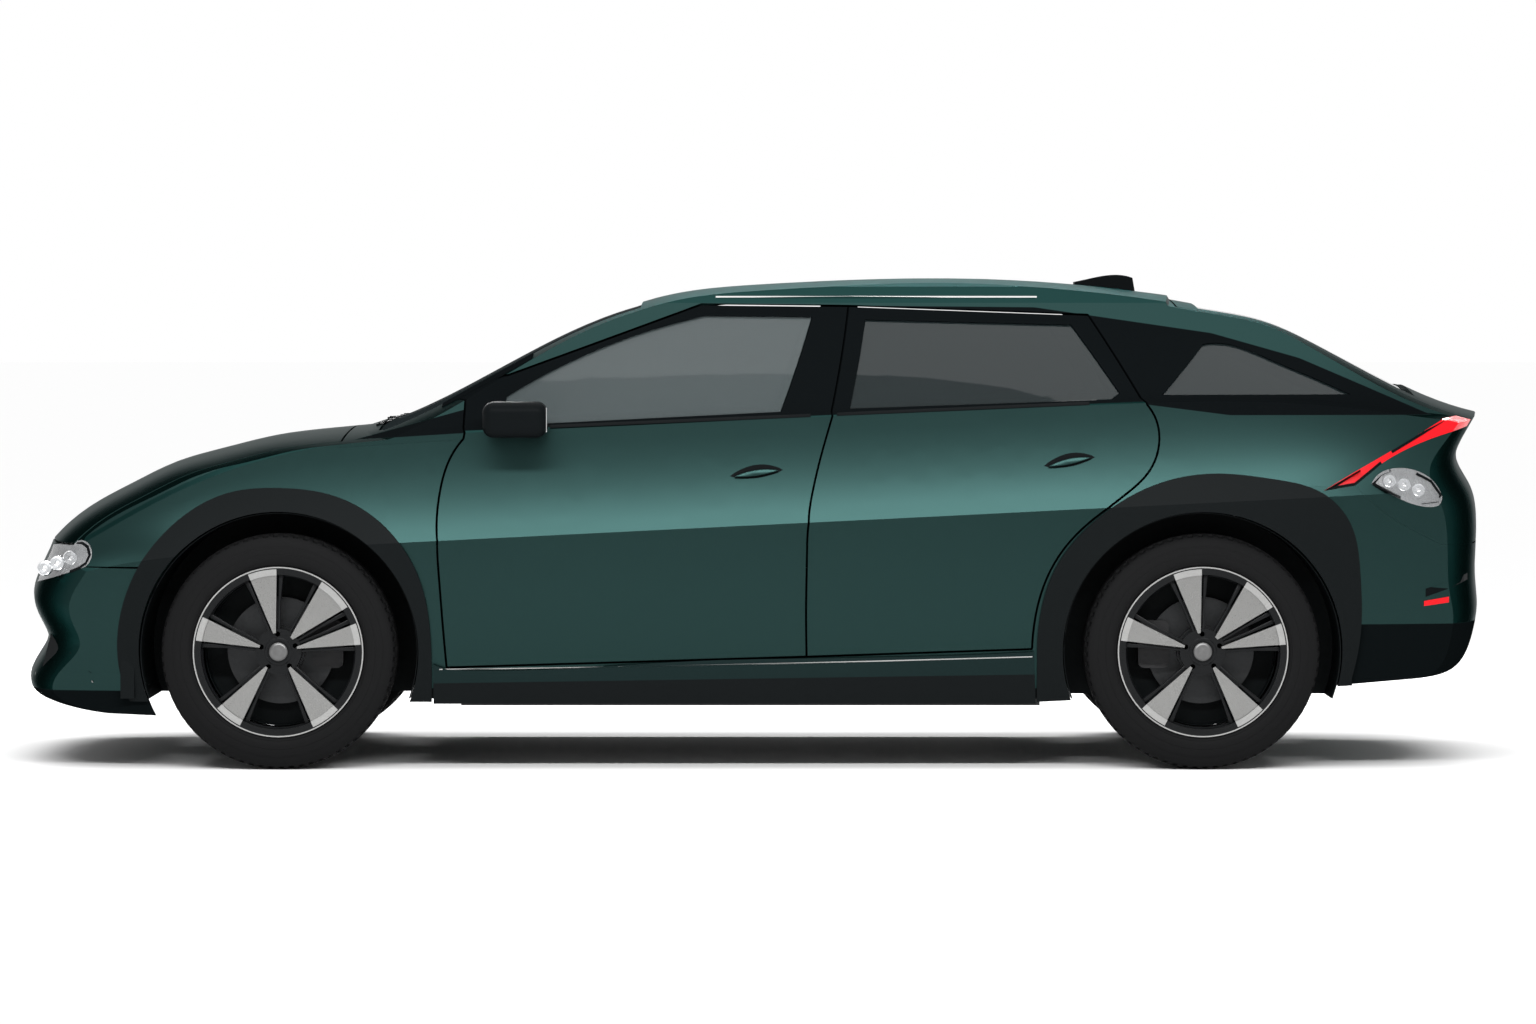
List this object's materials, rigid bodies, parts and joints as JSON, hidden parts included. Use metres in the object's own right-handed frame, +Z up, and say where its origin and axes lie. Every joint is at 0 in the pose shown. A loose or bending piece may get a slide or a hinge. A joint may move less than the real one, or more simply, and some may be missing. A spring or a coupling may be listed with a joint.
{
  "type": "electric crossover",
  "caption": "Five-door electric crossover with a tall hatch body, opening doors, bonnet and tailgate, steered front wheels and a cabin with seats.",
  "frame": {"origin": "on the ground under the middle of the car", "axes": "-X towards the nose, -Y towards the car's left side, +Z up"},
  "size_m": [4.703, 2.154, 1.5587],
  "materials": {
    "paint": "deep green metallic gloss",
    "dark_trim": "matt",
    "glass": "clear",
    "clear_lamp": "clear",
    "red_lamp": "clear",
    "tyre": "matt",
    "rim": "machined and black",
    "disc": "turned",
    "chassis": "satin",
    "iron": "raw",
    "drive": "cast",
    "fabric": "woven",
    "moulding": "matt",
    "wheel_rim": "smooth",
    "buffer_rubber": "matt"
  },
  "bodies": {
    "body": {"body_shell": "paint", "front_wings": "paint", "front_bumper": "paint", "rear_bumper": "dark_trim", "windscreen": "glass", "quarter_windows": "glass", "headlamps": "clear_lamp", "tail_lamps": "red_lamp", "reversing_lamps": "clear_lamp", "sill_trims": "dark_trim", "front_arch_trims": "dark_trim", "rear_arch_trims": "dark_trim", "centre_posts": "dark_trim", "front_seats": "fabric", "rear_hub_carriers": "iron", "battery_pack": "chassis", "front_drive_unit": "drive", "rear_drive_unit": "drive", "front_tray": "moulding", "front_subframe": "chassis", "rear_subframe": "chassis", "rear_bench": "fabric", "dashboard": "moulding", "steering_wheel": "wheel_rim", "front_door_hinges": "chassis", "lid_buffers": "buffer_rubber", "roof_fin": "dark_trim", "front_structure": "chassis"},
    "bonnet": {"bonnet": "paint"},
    "tailgate": {"tailgate": "paint", "rear_window": "glass"},
    "front_door_left": {"door_front_left": "paint", "window_front_left": "glass", "door_mirror_left": "dark_trim"},
    "rear_door_left": {"door_rear_left": "paint", "window_rear_left": "glass"},
    "hub_carrier_left": {"hub_carrier_front_left": "iron"},
    "wheel_front_left": {"tyre_front_left": "tyre", "rim_front_left": "rim", "brake_disc_front_left": "disc"},
    "wheel_rear_left": {"tyre_rear_left": "tyre", "rim_rear_left": "rim", "brake_disc_rear_left": "disc"},
    "front_door_right": {"door_front_right": "paint", "window_front_right": "glass", "door_mirror_right": "dark_trim"},
    "rear_door_right": {"door_rear_right": "paint", "window_rear_right": "glass"},
    "hub_carrier_right": {"hub_carrier_front_right": "iron"},
    "wheel_front_right": {"tyre_front_right": "tyre", "rim_front_right": "rim", "brake_disc_front_right": "disc"},
    "wheel_rear_right": {"tyre_rear_right": "tyre", "rim_rear_right": "rim", "brake_disc_rear_right": "disc"}
  },
  "joints": [
    {"name": "front_door_left_hinge", "type": "hinge", "parent": "body", "child": "front_door_left", "pos_m": [-0.928, -0.901, 0.7], "axis": [0, 0, -1], "range_deg": [0, 65]},
    {"name": "rear_door_left_hinge", "type": "hinge", "parent": "body", "child": "rear_door_left", "pos_m": [0.232, -0.901, 0.75], "axis": [0, 0, -1], "range_deg": [0, 68]},
    {"name": "front_door_right_hinge", "type": "hinge", "parent": "body", "child": "front_door_right", "pos_m": [-0.928, 0.901, 0.7], "axis": [0, 0, 1], "range_deg": [0, 65]},
    {"name": "rear_door_right_hinge", "type": "hinge", "parent": "body", "child": "rear_door_right", "pos_m": [0.232, 0.901, 0.75], "axis": [0, 0, 1], "range_deg": [0, 68]},
    {"name": "bonnet_hinge", "type": "hinge", "parent": "body", "child": "bonnet", "pos_m": [-1.3, 0, 1.069], "axis": [0, 1, 0], "range_deg": [0, 55]},
    {"name": "tailgate_hinge", "type": "hinge", "parent": "body", "child": "tailgate", "pos_m": [1.348, 0, 1.483], "axis": [0, -1, 0], "range_deg": [0, 72]},
    {"name": "steering_left", "type": "hinge", "parent": "body", "child": "hub_carrier_left", "pos_m": [-1.49, -0.735, 0.37], "axis": [0, 0, 1], "range_deg": [-32, 32]},
    {"name": "wheel_front_left_spin", "type": "hinge", "parent": "hub_carrier_left", "child": "wheel_front_left", "pos_m": [-1.49, -0.8, 0.37], "axis": [0, 1, 0], "continuous": true},
    {"name": "wheel_rear_left_spin", "type": "hinge", "parent": "body", "child": "wheel_rear_left", "pos_m": [1.41, -0.8, 0.37], "axis": [0, 1, 0], "continuous": true},
    {"name": "steering_right", "type": "hinge", "parent": "body", "child": "hub_carrier_right", "pos_m": [-1.49, 0.735, 0.37], "axis": [0, 0, 1], "range_deg": [-32, 32]},
    {"name": "wheel_front_right_spin", "type": "hinge", "parent": "hub_carrier_right", "child": "wheel_front_right", "pos_m": [-1.49, 0.8, 0.37], "axis": [0, 1, 0], "continuous": true},
    {"name": "wheel_rear_right_spin", "type": "hinge", "parent": "body", "child": "wheel_rear_right", "pos_m": [1.41, 0.8, 0.37], "axis": [0, 1, 0], "continuous": true}
  ],
  "couplings": [
    {"joint": "steering_right", "follows": "steering_left", "ratio": 1}
  ]
}
